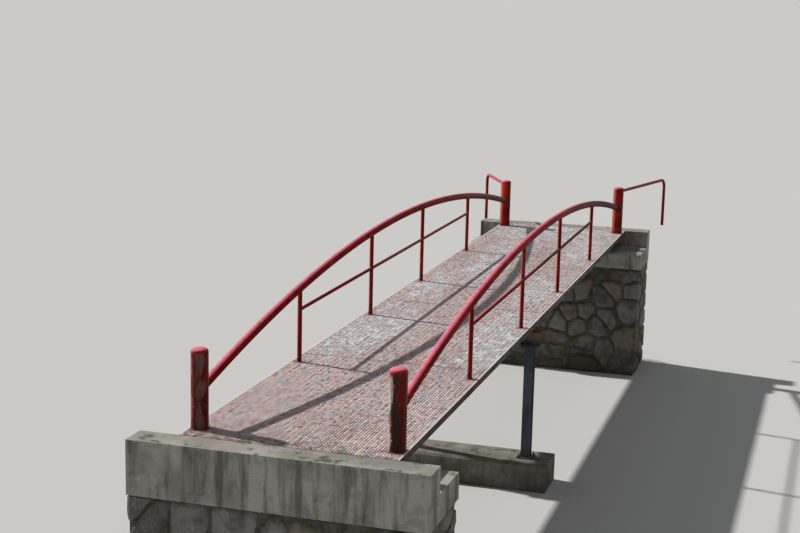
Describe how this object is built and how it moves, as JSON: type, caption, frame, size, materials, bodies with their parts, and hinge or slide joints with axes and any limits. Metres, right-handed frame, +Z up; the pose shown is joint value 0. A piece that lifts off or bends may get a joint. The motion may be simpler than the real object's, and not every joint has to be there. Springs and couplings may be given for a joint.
{
  "type": "footbridge with arched handrails",
  "caption": "Flat steel-plate footbridge on two rolled girders, with low arched tubular handrails, a mid pier and stone abutments.",
  "frame": {"origin": "centre of the underside of the pier's footing, on the stream bed, midway between the two handrails", "axes": "+X along the deck from the near end to the far end, +Y to the left handrail, +Z up; the top of the deck is at z = 1.9 m"},
  "size_m": [12.5748, 2.5853, 2.8281],
  "materials": {
    "rail_paint": "worn red gloss paint, chalky on top, rust at the welds",
    "baluster_paint": "worn red gloss paint with rust at the foot",
    "mid_rail_paint": "worn red gloss paint",
    "post_paint": "thick red paint, peeled and dirty",
    "cap_paint": "faded red paint, chalky on top",
    "wing_paint": "worn red gloss paint",
    "deck_steel": "worn reddish-grey paint on raised-pattern plate",
    "girder_paint": "dark dirty paint with rust",
    "pier_paint": "dull blue-grey paint",
    "cap_beam_paint": "rust and ochre dirt over dull paint",
    "bearing_steel": "rusted steel",
    "concrete": "weathered concrete with moss",
    "masonry": "dark weathered rubble stone"
  },
  "bodies": {
    "root": {"near_abutment_stonework": "masonry", "near_abutment_ledge": "concrete", "far_abutment_stonework": "masonry", "far_abutment_ledge": "concrete", "near_bearing_plates": "bearing_steel", "far_bearing_plates": "bearing_steel", "pier_footing": "concrete", "pier_column_left": "pier_paint", "pier_column_right": "pier_paint", "pier_cap_beam": "cap_beam_paint", "girder_left": "girder_paint", "girder_right": "girder_paint", "cross_beams": "girder_paint", "outriggers": "girder_paint", "edge_angle_left": "girder_paint", "edge_angle_right": "girder_paint", "deck_plate_1": "deck_steel", "deck_plate_2": "deck_steel", "deck_plate_3": "deck_steel", "deck_plate_4": "deck_steel", "deck_plate_5": "deck_steel", "near_left_post": "post_paint", "near_right_post": "post_paint", "far_left_post": "post_paint", "far_right_post": "post_paint", "near_left_cap": "cap_paint", "near_right_cap": "cap_paint", "far_left_cap": "cap_paint", "far_right_cap": "cap_paint", "top_rail_left": "rail_paint", "top_rail_right": "rail_paint", "baluster_left_1": "baluster_paint", "baluster_left_2": "baluster_paint", "baluster_left_3": "baluster_paint", "baluster_left_4": "baluster_paint", "baluster_right_1": "baluster_paint", "baluster_right_2": "baluster_paint", "baluster_right_3": "baluster_paint", "baluster_right_4": "baluster_paint", "mid_rail_left": "mid_rail_paint", "mid_rail_right": "mid_rail_paint", "wing_rail_left": "wing_paint", "wing_rail_right": "wing_paint"}
  },
  "joints": []
}
